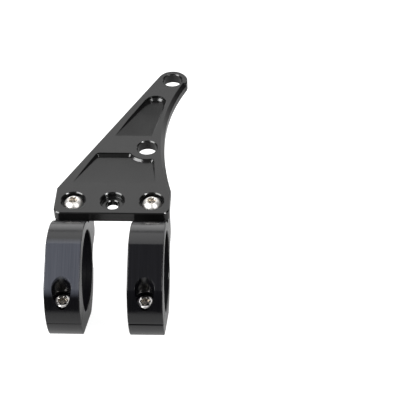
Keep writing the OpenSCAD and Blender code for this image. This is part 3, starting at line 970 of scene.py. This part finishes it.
def knurl(bm):
    """Sinks every second face of the head's side."""
    sides = [face for face in bm.faces if abs(face.normal.z) < UPRIGHT
             and KNURL_FROM < face.calc_center_median().z < CAP_H - CAP_ROUND
             and face.calc_center_median().xy.length > CAP_R - AT_SIDE]
    sides.sort(key=lambda face: turn_of(face.calc_center_median().xy))
    bmesh.ops.inset_individual(bm, faces=sides[::2], thickness=KNURL_EDGE, depth=-KNURL_DEPTH)
    print(f"cap head: {len(sides) // 2} knurls")


for side in ("outer", "inner"):
    cap_bm = bmesh.new()
    turned(cap_bm, [(CAP_MOUTH_R, CAP_H), *cap_rim(), *CAP_FOOT, *shank(r=2.5, length=12, pitch=0.8)])
    knurl(cap_bm)
    sink_socket(cap_bm, CAP_SOCKET, CAP_H, CAP_SOCKET_DEPTH)
    place_screw(f"{side}_cap_bolt", cap_bm, f"{side}_pinch_bolt", cap_steel, CAP_MOUTH_R,
                CAP_SOCKET_FLOOR, CAP_R - CAP_ROUND, CAP_H - CAP_ROUND)

# %% [markdown]
# ## Camera
# A camera could be placed by eye and turned towards the part. This one was solved from the holes,
# corners and rings that the photo shows. Its place, the ways that its right, down and ahead
# point, its lens in pixels and the small offset of the picture's middle all came out of that.

# %% Camera
PICTURE = 416
SENSOR = 36.0
FOCAL_PIXELS = 1289.71
PICTURE_MIDDLE = Vector((206.645, 206.927))
CAMERA_AT = (0.073807, -0.472124, 0.486073)
right = Vector((0.999373, 0.031519, -0.01611))
down = Vector((0.009681, -0.681146, -0.732084))
ahead = Vector((-0.034048, 0.731469, -0.681024))

camera_data = bpy.data.cameras.new("camera")
camera = bpy.data.objects.new("camera", camera_data)
bpy.context.scene.collection.objects.link(camera)
stance = Matrix((right, -down, -ahead)).transposed().to_4x4()
camera.matrix_world = Matrix.Translation(CAMERA_AT) @ stance
camera_data.lens = FOCAL_PIXELS * SENSOR / PICTURE
camera_data.sensor_width = SENSOR
camera_data.shift_x = (PICTURE / 2 - PICTURE_MIDDLE.x) / PICTURE
camera_data.shift_y = (PICTURE_MIDDLE.y - PICTURE / 2) / PICTURE
bpy.context.scene.camera = camera
print(f"lens {camera_data.lens:.1f} mm")

# %% [markdown]
# ## Table
# Black gloss shows its surroundings more than its own colour. The table ends close in front of the
# part, because the clamps' front mirrors a dark room there. More light could make it white, but
# would also wash out the black. So only the camera sees it glow nearly white, and the lamps'
# light on its grey colour brings the shadow. Mirrored in the metal it glows just a little.

# %% Table
TABLE_FRONT = -0.10
TABLE_BACK = 2.0
TABLE_HALF = 1.5
TABLE_COLOUR = (0.42, 0.42, 0.42, 1)
TABLE_ROUGHNESS = 0.9
SEEN_GLOW = 0.95
MIRRORED_GLOW = 0.16

table_bm = bmesh.new()
bmesh.ops.create_grid(table_bm, x_segments=1, y_segments=1, size=1)
bmesh.ops.scale(table_bm, verts=table_bm.verts, vec=(TABLE_HALF, (TABLE_BACK - TABLE_FRONT) / 2, 1))
table_at = (0, (TABLE_BACK + TABLE_FRONT) / 2, cad_box[0].z)
bmesh.ops.translate(table_bm, verts=table_bm.verts, vec=table_at)
table_mesh = bpy.data.meshes.new("table")
table_bm.to_mesh(table_mesh)
table_bm.free()

table_white, tree, shader = finish_of("white_table", DIELECTRIC)
shader.inputs["Roughness"].default_value = TABLE_ROUGHNESS
shader.inputs["Base Color"].default_value = TABLE_COLOUR
shader.inputs["Emission Color"].default_value = (1, 1, 1, 1)
rays = add_node(tree, "ShaderNodeLightPath")
seen = combined(tree, "MULTIPLY", rays.outputs["Is Camera Ray"], SEEN_GLOW)
mirrored = combined(tree, "MULTIPLY", rays.outputs["Is Glossy Ray"], MIRRORED_GLOW)
tree.links.new(combined(tree, "ADD", seen, mirrored), shader.inputs["Emission Strength"])
table_mesh.materials.append(table_white)
table = bpy.data.objects.new("table", table_mesh)
bpy.context.scene.collection.objects.link(table)
table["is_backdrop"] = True
print(f"table: from y {TABLE_FRONT} to {TABLE_BACK} m")

# %% [markdown]
# ## Room
# The room is the world. An even white one would turn all the black grey, and the milled edges would
# be lost. So it is nearly dark, with a dim ceiling and a white sheet low behind the part, which
# gives the clamps' tops their sheen. A dark gap stays between the sheet and the softbox above it:
# the floor of the upper pocket mirrors that gap, which is why it is darker than the face round
# it. Only the camera sees the world white all round.

# %% World
# Each border: where it starts and ends on its axis, and the strength before and after it
CEILING = (0.55, 0.85, 0.03, 0.16)
SHEET_BEHIND = (0.25, 0.65, 0, 1.7)
SHEET_SIDES = (0.60, 0.85, 1, 0)
SHEET_TOP = (0.34, 0.44, 1, 0.15)

world = bpy.data.worlds.new("studio")
bpy.context.scene.world = world
world.use_nodes = True
tree = world.node_tree
background = tree.nodes["Background"]
background.inputs["Color"].default_value = (1, 1, 1, 1)
coords = add_node(tree, "ShaderNodeTexCoord")
axes = add_node(tree, "ShaderNodeSeparateXYZ")
rays = add_node(tree, "ShaderNodeLightPath")
tree.links.new(coords.outputs["Generated"], axes.inputs[0])

behind = ramp(tree, axes.outputs["Y"], *SHEET_BEHIND)
beside = ramp(tree, combined(tree, "ABSOLUTE", axes.outputs["X"]), *SHEET_SIDES)
below_gap = ramp(tree, axes.outputs["Z"], *SHEET_TOP)
sheet = combined(tree, "MULTIPLY", combined(tree, "MULTIPLY", behind, beside), below_gap)
room = combined(tree, "MAXIMUM", ramp(tree, axes.outputs["Z"], *CEILING), sheet)
seen = combined(tree, "MAXIMUM", room, rays.outputs["Is Camera Ray"])
tree.links.new(seen, background.inputs["Strength"])
print(f"sheet at {SHEET_BEHIND[-1]}, ceiling at {CEILING[-1]}, gap at {SHEET_BEHIND[-1] * SHEET_TOP[-1]:.2f}")

# %% [markdown]
# ## Lamps
# Gloss shows a lamp's shape and size, so sun or point lamps would leave hard specks. Three softboxes
# are used instead, each given by the way it comes from, its size and how bright its face looks.
# A large one stands at the front left and a small one at the front right. The third, behind and
# above, is dim and wide, and the arm's top face mirrors it as an even grey.

# %% Softboxes
LAMP_DISTANCE = 0.9
LAMPS_LOOK_AT = Vector((0, 0.05, 0))


def softbox(name, way, width, height, radiance):
    """Lamp that looks at the part from the given way."""
    lamp = bpy.data.lights.new(name, "AREA")
    lamp.shape = "RECTANGLE"
    lamp.size = width
    lamp.size_y = height
    lamp.energy = radiance * math.pi * width * height
    obj = bpy.data.objects.new(name, lamp)
    bpy.context.scene.collection.objects.link(obj)
    way = Vector(way).normalized()
    obj.location = LAMPS_LOOK_AT + way * LAMP_DISTANCE
    obj.rotation_euler = way.to_track_quat("Z", "Y").to_euler()
    print(f"{name}: {lamp.energy:.1f} W")


softbox("left_softbox", (-0.69, -0.38, 0.61), 0.62, 0.45, radiance=13)
softbox("right_softbox", (0.62, -0.43, 0.66), 0.2, 0.2, radiance=30)
softbox("back_softbox", (0, 0.65, 0.76), 1.2, 0.56, radiance=1.3)

# %% [markdown]
# ## View transform and sizes
# The view transform is Standard, so a colour renders as it is written. The two boxes show whether
# the dressed part kept the size of the CAD model.

# %% Sizes
bpy.context.scene.view_settings.view_transform = "Standard"
dressed_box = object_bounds()
for corner, dressed in zip(cad_box, dressed_box):
    print("CAD", [round(c, 4) for c in corner], "dressed", [round(c, 4) for c in dressed])
